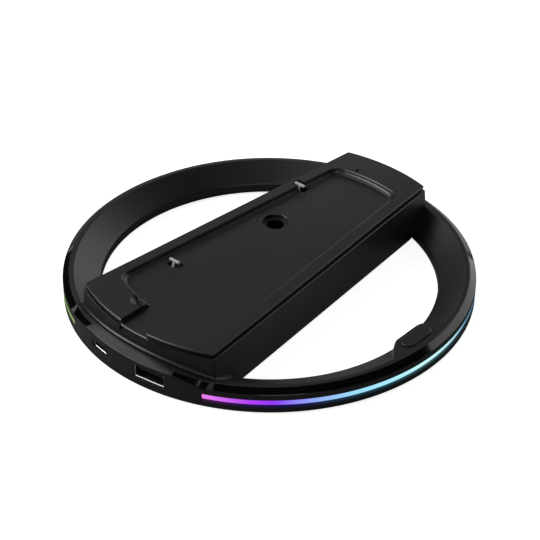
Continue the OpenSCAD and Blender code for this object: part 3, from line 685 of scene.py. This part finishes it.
def joined(name, solids):
    """One object from several closed solids that overlap."""
    bm = bmesh.new()
    for ob in solids:
        bm.from_mesh(ob.data)
        bpy.data.objects.remove(ob)
    me = bpy.data.meshes.new(name)
    bm.to_mesh(me)
    bm.free()
    ob = bpy.data.objects.new(name, me)
    bpy.context.scene.collection.objects.link(ob)
    return crisp(ob, 40)


def soft_box(x, y, w, h, z0, z1, lean=0.0):
    """Upright block with broken edges; down to the tray's floor it leans to the front."""
    def place(u, v, d):
        return np.stack([x + u, y + v - lean * np.clip((z1 - d) / (z1 - FLOOR_Z), 0, 1), d], -1)
    line, small = outline_box(w, h, 0.2, 4), outline_box(w - 2 * BREAK, h - 2 * BREAK, 0.12, 4)
    mid = FLOOR_Z if lean else (z0 + z1) / 2
    rings = [place(o[:, 0], o[:, 1], np.full(len(o), d)) for o, d in (
        (small, z0), (line, z0 + BREAK), (line, mid), (line, z1 - BREAK), (small, z1))]
    return sweep("block", np.stack(rings), False)


def hook(name, y):
    """T hook: a dark foot under the plate, and a bar over a leaning stem."""
    foot_top = PAN_Z - 0.05
    foot = crisp(soft_box(HOOK_X, y, FOOT_X, FOOT_Y, foot_top - HOOK_T, foot_top), 40)
    foot.name = foot.data.name = name + "_foot"
    return foot, joined(name, [
        soft_box(HOOK_X, y, HOOK_BAR, HOOK_T, HOOK_TOP - HOOK_T + 0.15, HOOK_TOP),
        soft_box(HOOK_X, y, STEM, STEM, foot_top - 0.5, HOOK_TOP - 0.3, 0.9)])


for place_name, y in zip(("front", "rear"), HOOK_YS):
    pair = hook("hook_" + place_name + "_fine", y)
    for piece, key in zip(pair, ("_foot", "")):
        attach(piece, "stand")
        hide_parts("hook_" + place_name)
        fine["hook_" + place_name + key] = piece


print("hooks:", sorted(key for key in fine if key.startswith("hook")))


# %% Build the ports' sleeves
SHEET, FLARE = 0.3, 0.45


def sleeve(name, w, h, r, length, place):
    """Sheet sleeve: outside, a mouth rounded by a quarter circle of the flare's radius, inside."""
    def ring(grow, d):
        o = outline_box(w + 2 * grow, h + 2 * grow, max(r + grow, 0.05))
        return place(o[:, 0], o[:, 1], np.full(len(o), d))
    rings = [ring(0, -length), ring(0, -0.04), ring(-0.03, 0)]
    rings += [ring(-0.03 - FLARE * math.sin(t), -FLARE * (1 - math.cos(t)))
              for t in np.linspace(0.2, math.pi / 2, 6)]
    rings += [ring(-SHEET, -FLARE - SHEET), ring(-SHEET, -length)]
    return crisp(sweep(name, np.stack(rings), True), 35)


for port, w, h, r, length, angle in (("port_a_shell", PORT_A_W, PORT_A_H, 0.4, PORT_A_LEN, PORT_A),
                                     ("port_c_shell", PORT_C_W, PORT_C_H, PORT_C_H / 2 - 0.001,
                                      PORT_C_LEN, PORT_C)):
    piece = sleeve(port + "_fine", w, h, r, length, at_port(angle))
    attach(piece, "stand")
    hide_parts(port)
    fine[port] = piece
print("hooks and sleeves:", [ob.name for ob in fine.values()])

# %% [markdown]
# ## Finishes
# Moulded plastic is never one flat colour: its skin has a fine grain that breaks up the
# gloss, and slow clouds where the mould ran warmer. Both come from noise on object
# coordinates, so they stay in place on the part. They are built once as node groups and
# used with other values in each material. The light guide's colours turn round the ring.

# %% Helpers for node trees
def group(name, inputs, outputs):
    """New shader node group with named sockets; returns it with its input and output nodes."""
    g = bpy.data.node_groups.new(name, "ShaderNodeTree")
    for label, kind, value in inputs:
        sock = g.interface.new_socket(label, in_out="INPUT", socket_type=kind)
        if value is not None:
            sock.default_value = value
    for label, kind in outputs:
        g.interface.new_socket(label, in_out="OUTPUT", socket_type=kind)
    return g, g.nodes.new("NodeGroupInput"), g.nodes.new("NodeGroupOutput")


def node(tree, kind, inputs=None, **settings):
    """Adds a node, sets its properties, and sets or links its inputs."""
    n = tree.nodes.new(kind)
    for key, value in settings.items():
        setattr(n, key, value)
    for key, value in (inputs or {}).items():
        if isinstance(value, bpy.types.NodeSocket):
            tree.links.new(value, n.inputs[key])
        else:
            n.inputs[key].default_value = value
    return n


def maths(tree, kind, *values):
    """One step of arithmetic on numbers or sockets."""
    return node(tree, "ShaderNodeMath", dict(enumerate(values)), operation=kind).outputs[0]


def remap(tree, value, low, high, first=0.0, last=1.0):
    """Carries low..high to first..last in a straight line, and holds the ends outside it."""
    return node(tree, "ShaderNodeMapRange", {"Value": value, "From Min": low, "From Max": high,
                                             "To Min": first, "To Max": last}).outputs["Result"]


def between(tree, share, a, b):
    """Colour a at share 0 and b at share 1."""
    return node(tree, "ShaderNodeMix", {"Factor": share, "A": a, "B": b},
                data_type="RGBA").outputs["Result"]


def object_point(tree):
    """Object coordinates, in metres from the stand's middle."""
    return node(tree, "ShaderNodeTexCoord").outputs["Object"]


def grey(value):
    """Neutral colour."""
    return (value, value, value, 1)


print("helpers for materials are ready")


# %% Two node groups
def build_grain():
    """Fine cells give the height, slow clouds shift tint and roughness about their middle."""
    g, i, o = group("moulded_grain",
                    [("Vector", "NodeSocketVector", None), ("Cells", "NodeSocketFloat", 3000.0),
                     ("Rough", "NodeSocketFloat", 0.5), ("Spread", "NodeSocketFloat", 0.05),
                     ("Clouds", "NodeSocketFloat", 40.0)],
                    [("Rough", "NodeSocketFloat"), ("Height", "NodeSocketFloat"),
                     ("Tint", "NodeSocketFloat")])
    fine_noise = node(g, "ShaderNodeTexNoise", {"Vector": i.outputs["Vector"], "Scale": i.outputs["Cells"],
                                                "Detail": 2.0, "Roughness": 0.6})
    slow = node(g, "ShaderNodeTexNoise", {"Vector": i.outputs["Vector"], "Scale": i.outputs["Clouds"],
                                          "Detail": 3.0, "Roughness": 0.55})
    centred = maths(g, "SUBTRACT", slow.outputs["Fac"], 0.5)
    shift = maths(g, "MULTIPLY_ADD", centred, i.outputs["Spread"], i.outputs["Rough"])
    g.links.new(shift, o.inputs["Rough"])
    g.links.new(fine_noise.outputs["Fac"], o.inputs["Height"])
    g.links.new(slow.outputs["Fac"], o.inputs["Tint"])
    return g


def build_hues():
    """Angle about the ring's axis, as 0 to 1 from the left, picks a colour from a ramp."""
    g, i, o = group("ring_hues", [("Vector", "NodeSocketVector", None)],
                    [("Colour", "NodeSocketColor"), ("Turn", "NodeSocketFloat")])
    xyz = node(g, "ShaderNodeSeparateXYZ", {"Vector": i.outputs["Vector"]})
    turn = maths(g, "ARCTAN2", xyz.outputs["Y"], xyz.outputs["X"])
    share = maths(g, "MULTIPLY_ADD", turn, 1 / (2 * math.pi), 0.5)
    ramp = node(g, "ShaderNodeValToRGB", {"Fac": share})
    stops = [(0.0, (0.02, 0.50, 0.16)), (0.12, (0.20, 0.50, 0.05)), (0.183, (0.25, 0.33, 0.10)),
             (0.30, (1.0, 0.12, 0.75)), (0.32, (0.80, 0.20, 0.85)), (0.35, (0.45, 0.05, 0.90)),
             (0.37, (0.26, 0.03, 0.95)), (0.40, (0.30, 0.45, 0.93)), (0.43, (0.34, 0.74, 0.95)),
             (0.46, (0.42, 0.86, 1.0)), (0.49, (0.60, 1.0, 1.0)), (0.52, (0.55, 0.92, 1.0)),
             (0.55, (0.14, 0.36, 0.55)), (0.6, (0.01, 0.10, 0.30)), (0.75, (0.0, 0.30, 0.50)),
             (0.9, (0.02, 0.45, 0.30)), (1.0, (0.02, 0.50, 0.16))]
    els = ramp.color_ramp.elements
    els[0].position, els[0].color = stops[0][0], (*stops[0][1], 1)
    els[1].position, els[1].color = stops[-1][0], (*stops[-1][1], 1)
    for pos, col in stops[1:-1]:
        e = els.new(pos)
        e.color = (*col, 1)
    g.links.new(ramp.outputs["Color"], o.inputs["Colour"])
    g.links.new(share, o.inputs["Turn"])
    return g


GRAIN, HUES = build_grain(), build_hues()
print("groups:", GRAIN.name, HUES.name)


# %% A finish between two tones
def finish(name, dark, light, rough, bump, spread=0.06, cells=3000.0, clouds=40.0, metallic=0.0):
    """Principled material whose colour runs between two tones with the clouds, and whose
    gloss and height follow the grain. Bump depth is in millimetres."""
    m = bpy.data.materials.new(name)
    m.use_nodes = True
    t = m.node_tree
    shader = t.nodes["Principled BSDF"]
    grain = node(t, "ShaderNodeGroup", node_tree=GRAIN)
    for key, value in (("Cells", cells), ("Rough", rough), ("Spread", spread), ("Clouds", clouds)):
        grain.inputs[key].default_value = value
    t.links.new(object_point(t), grain.inputs["Vector"])
    tone = between(t, grain.outputs["Tint"], (*dark, 1), (*light, 1))
    height = node(t, "ShaderNodeBump", {"Height": grain.outputs["Height"], "Strength": 1.0,
                                        "Distance": bump * MM})
    t.links.new(tone, shader.inputs["Base Color"])
    t.links.new(grain.outputs["Rough"], shader.inputs["Roughness"])
    t.links.new(height.outputs["Normal"], shader.inputs["Normal"])
    shader.inputs["Metallic"].default_value = metallic
    return m


print("finish() gives grain, clouds and gloss to any two tones")

# %% [markdown]
# ## Light from the ring
# The strip is milky plastic with coloured light sources behind it. Its colour comes from
# the angle and its brightness from the height, both read from object coordinates. On the
# wall below it the strip's light is painted: that material gets a weak painted glow, an emission in deeper
# hues.

# %% The lit strip and its glow
# Painted glow on the wall below the strip: its reach, strength, fall-off and hue depth.
GLOW_REACH, GLOW_STRENGTH, GLOW_FALL, GLOW_DEPTH = 2.4, 0.13, 2.7, 2.2


def height_share(tree, low, top):
    """0 at the lower height and 1 at the upper one, in mm above the base."""
    xyz = node(tree, "ShaderNodeSeparateXYZ", {"Vector": object_point(tree)})
    return remap(tree, xyz.outputs["Z"], (low + LIFT) * MM, (top + LIFT) * MM)


def ring_hues(tree):
    """The hues group on object coordinates."""
    hues = node(tree, "ShaderNodeGroup", node_tree=HUES)
    tree.links.new(object_point(tree), hues.inputs["Vector"])
    return hues


def add_painted_glow(m):
    """Painted light from the strip on the wall below it, as emission: strength * share^fall, in a deeper hue.
    """
    t = m.node_tree
    deep = node(t, "ShaderNodeGamma", {"Color": ring_hues(t).outputs["Colour"], "Gamma": GLOW_DEPTH})
    near = maths(t, "POWER", height_share(t, STRIP_LOW - GLOW_REACH, STRIP_LOW), GLOW_FALL)
    glow = between(t, maths(t, "MULTIPLY", near, GLOW_STRENGTH), grey(0), deep.outputs["Color"])
    t.links.new(glow, t.nodes["Principled BSDF"].inputs["Emission Color"])
    t.nodes["Principled BSDF"].inputs["Emission Strength"].default_value = 1.0


def lit(name, strength):
    """Milky plastic lit from behind, in the ring's colours. Its lower edge fades, and at the
    right the light sources sit high, so there only the upper half of the strip is bright."""
    m = bpy.data.materials.new(name)
    m.use_nodes = True
    t = m.node_tree
    shader = t.nodes["Principled BSDF"]
    hues = ring_hues(t)
    rise = remap(t, hues.outputs["Turn"], 0.45, 0.55, 0.0, 0.5)
    fall = remap(t, hues.outputs["Turn"], 0.6, 0.72, 1.0, 0.0)
    above = maths(t, "SUBTRACT", height_share(t, STRIP_LOW, STRIP_TOP), maths(t, "MULTIPLY", rise, fall))
    bright = remap(t, above, -0.15, 0.15, 0.1, 1.0)
    shown = between(t, bright, grey(0), hues.outputs["Colour"])
    t.links.new(shown, shader.inputs["Emission Color"])
    shader.inputs["Base Color"].default_value = grey(0.02)
    shader.inputs["Emission Strength"].default_value = strength
    shader.inputs["Roughness"].default_value = 0.35
    return m


print("glow reaches", GLOW_REACH, "mm below the strip")

# %% [markdown]
# ## All the finishes
# The plastics are nearly black, and they differ in gloss: the ring and the bridge are
# satin, the base is duller, and the band and the corner pieces are polished. Only the hooks
# and the mouths of the ports are light. Hidden pieces get the finish of what they are.

# %% Make the materials
MATERIALS = {
    "ring_plastic": finish("ring_plastic", (0.006, 0.006, 0.0065), (0.009, 0.009, 0.0095), 0.36, bump=0.004),
    "bridge_plastic": finish("bridge_plastic", (0.006, 0.006, 0.0065), (0.009, 0.009, 0.0095), 0.37,
                             bump=0.006, cells=2600.0),
    "base_plastic": finish("base_plastic", (0.005, 0.005, 0.0055), (0.007, 0.007, 0.0075), 0.45, bump=0.005),
    "black_gloss": finish("black_gloss", (0.001, 0.001, 0.001), (0.0015, 0.0015, 0.0015), 0.08, spread=0.02,
                          cells=900.0, bump=0.0004),
    "lit_guide": lit("lit_guide", 1.0),
    "mark_ink": finish("mark_ink", (0.003, 0.003, 0.003), (0.004, 0.004, 0.004), 0.5, bump=0.004),
    "flex_board": finish("flex_board", (0.55, 0.55, 0.50), (0.65, 0.65, 0.60), 0.5, bump=0.01),
    "led_body": finish("led_body", (0.75, 0.74, 0.60), (0.85, 0.84, 0.70), 0.35, bump=0.01),
    "hook_grey": finish("hook_grey", (0.34, 0.34, 0.35), (0.42, 0.42, 0.43), 0.38, bump=0.008),
    "black_part": finish("black_part", (0.006, 0.006, 0.006), (0.010, 0.010, 0.010), 0.45, bump=0.006),
    "ivory_part": finish("ivory_part", (0.60, 0.55, 0.40), (0.70, 0.65, 0.50), 0.5, bump=0.01),
    "green_board": finish("green_board", (0.010, 0.07, 0.035), (0.014, 0.10, 0.05), 0.4, bump=0.02,
                          cells=1200.0),
    "steel": finish("steel", (0.40, 0.40, 0.41), (0.50, 0.50, 0.52), 0.32, metallic=1.0, bump=0.005),
    "port_steel": finish("port_steel", (0.40, 0.40, 0.41), (0.50, 0.50, 0.51), 0.3, metallic=1.0,
                         bump=0.003),
    "contact_gold": finish("contact_gold", (0.75, 0.52, 0.20), (0.85, 0.60, 0.26), 0.25, metallic=1.0,
                           bump=0.002),
    "foot_rubber": finish("foot_rubber", (0.012, 0.012, 0.012), (0.018, 0.018, 0.018), 0.75, bump=0.02,
                          cells=1800.0),
}
# The base's wall below the strip gets a painted glow: emission that stands in for the strip's light falling
# on it.
add_painted_glow(MATERIALS["base_plastic"])
print("materials:", len(MATERIALS))


# %% Dress every piece
def dress(ob, slot):
    """Gives a new piece its one material."""
    ob.data.materials.clear()
    ob.data.materials.append(MATERIALS[slot])


for entry in frame["record"]["subparts"]:
    cad = frame["nodes"][entry["node"]]
    for k in range(len(cad.material_slots)):
        cad.material_slots[k].material = MATERIALS[entry["material_slot"]]
    if not cad.material_slots:
        cad.data.materials.append(MATERIALS[entry["material_slot"]])
for ob, slot in ((ring_skin, "ring_plastic"), (band, "black_gloss"), (guide, "lit_guide"),
                 (plate, "bridge_plastic"), (lip, "bridge_plastic"), (housing, "bridge_plastic"),
                 (cap, "ring_plastic"), (mark, "mark_ink"), (fine["hook_front"], "hook_grey"),
                 (fine["hook_rear"], "hook_grey"), (fine["hook_front_foot"], "black_part"),
                 (fine["hook_rear_foot"], "black_part"), (fine["port_a_shell"], "port_steel"),
                 (fine["port_c_shell"], "port_steel"), (fine["port_a_tongue"], "black_part"),
                 (fine["port_c_tongue"], "black_part"),
                 (bpy.data.objects["corner_piece_right"], "black_gloss"),
                 (bpy.data.objects["corner_piece_left"], "black_gloss")):
    dress(ob, slot)

# %% [markdown]
# ## The floor
# The stand is almost black, so it is drawn by what it mirrors. The camera sees a plain pale
# floor with a soft glow. Reflections see a darker table instead, with two pale cards on it:
# one inside the ring at the right and one behind the stand. Light Path keeps the two apart,
# and it stays in this material, which isn't part of the object.

# %% Lay the floor
SEEN, SEEN_GLOW, TABLE, CARD = 0.6, 0.85, 0.22, 0.85
CARD_RIM, CARD_RIGHT, RIGHT_SHARE, CARD_BEHIND = (0.060, 0.066), (0.0, 0.02), 0.45, (0.06, 0.14)

floor_mat = bpy.data.materials.new("studio_floor")
floor_mat.use_nodes = True
floor_tree = floor_mat.node_tree
floor_shader = floor_tree.nodes["Principled BSDF"]
camera_ray = node(floor_tree, "ShaderNodeLightPath").outputs["Is Camera Ray"]
spot = object_point(floor_tree)
spot_xyz = node(floor_tree, "ShaderNodeSeparateXYZ", {"Vector": spot})
spot_r = node(floor_tree, "ShaderNodeVectorMath", {0: spot}, operation="LENGTH")
inside = remap(floor_tree, spot_r.outputs["Value"], *CARD_RIM, 1.0, 0.0)
right = remap(floor_tree, spot_xyz.outputs["X"], *CARD_RIGHT, 0.0, RIGHT_SHARE)
behind = remap(floor_tree, spot_xyz.outputs["Y"], *CARD_BEHIND)
cards = maths(floor_tree, "MAXIMUM", maths(floor_tree, "MULTIPLY", inside, right), behind)
table = between(floor_tree, cards, grey(TABLE), grey(CARD))
floor_tree.links.new(between(floor_tree, camera_ray, table, grey(SEEN)), floor_shader.inputs["Base Color"])
floor_tree.links.new(maths(floor_tree, "MULTIPLY", camera_ray, SEEN_GLOW),
                     floor_shader.inputs["Emission Strength"])
floor_shader.inputs["Emission Color"].default_value = grey(1)
floor_shader.inputs["Roughness"].default_value = 0.9
floor_shader.inputs["Specular IOR Level"].default_value = 0.0
bpy.ops.mesh.primitive_plane_add(size=12, location=(0, 0, -0.0002))
floor = bpy.context.object
floor.name = "studio_floor"
floor.data.materials.append(floor_mat)
print("floor:", floor.name, "with a table of", TABLE, "and cards of", CARD, "in reflections")

# %% [markdown]
# ## The lights
# A wide light behind the stand runs along the glossy band and the dish, with a low one at
# the rear left and a small near one that gives the band its highlight. A long light at the
# front left draws the tray's far wall and the plate's edges, one at the camera's side fills
# the front, and two weak ones above lift the left of the dish and the plate. The sky stays
# nearly dark, so what mirrors none of them is black.

# %% Sky and lights
world = bpy.data.worlds.new("studio_sky")
bpy.context.scene.world = world
world.use_nodes = True
world.node_tree.nodes["Background"].inputs["Color"].default_value = grey(1)
world.node_tree.nodes["Background"].inputs["Strength"].default_value = 0.02


def soft_light(name, azimuth, elevation, distance, width, height, radiance):
    """Rectangular light on a sphere about the stand, turned to its middle. Azimuth is counted
    from +X towards +Y. Power = radiance * pi * area, so the size can change alone."""
    az, el = math.radians(azimuth), math.radians(elevation)
    data = bpy.data.lights.new(name, "AREA")
    data.shape, data.size, data.size_y = "RECTANGLE", width, height
    data.energy = radiance * math.pi * width * height
    ob = bpy.data.objects.new(name, data)
    bpy.context.scene.collection.objects.link(ob)
    ob.location = Vector((math.cos(az) * math.cos(el), math.sin(az) * math.cos(el), math.sin(el))) * distance
    ob.rotation_euler = (-ob.location).to_track_quat("-Z", "Y").to_euler()
    return ob


soft_light("rear_band", 81, 22, 2.6, 2.7, 1.9, 1.35)
soft_light("rear_low", 108, 3, 2.4, 0.6, 0.4, 1.2)
soft_light("front_left", 221, 35, 2.4, 2.2, 0.75, 9.0)
soft_light("camera_side", -40, 53, 2.6, 0.8, 0.6, 6.0)
soft_light("left_high", 160, 51, 2.6, 0.8, 1.0, 3.0)
soft_light("overhead", 230, 78, 2.4, 0.45, 0.45, 2.6)
soft_light("rear_near", 131, 19, 0.55, 0.24, 0.14, 1.0)

# %% [markdown]
# ## The camera
# Its place, its lens and its small shift were worked out from the ring's ellipses and the
# bridge's edges, so the render lies over the picture that the stand was measured from.

# %% Place the camera
AZ, EL, DIST, ROLL = math.radians(41.39), math.radians(35.33), 0.7005, math.radians(0.354)
cam_data = bpy.data.cameras.new("photo_camera")
cam_data.sensor_width, cam_data.lens = 36.0, 119.5
cam_data.shift_x, cam_data.shift_y = 0.00116, 0.0223
cam_data.clip_start, cam_data.clip_end = 0.01, 50
cam = bpy.data.objects.new("photo_camera", cam_data)
bpy.context.scene.collection.objects.link(cam)
aim = Vector((0, 0, LIFT * MM))
away = Vector((math.sin(AZ) * math.cos(EL), -math.cos(AZ) * math.cos(EL), math.sin(EL)))
cam.location = aim + away * DIST
cam.rotation_mode = "QUATERNION"
cam.rotation_quaternion = (-away).to_track_quat("-Z", "Y") @ Quaternion((0, 0, 1), ROLL)
bpy.context.scene.camera = cam
bpy.context.scene.view_settings.view_transform = "Standard"
print("camera:", [round(c, 4) for c in cam.location], "m, lens", cam_data.lens, "mm")
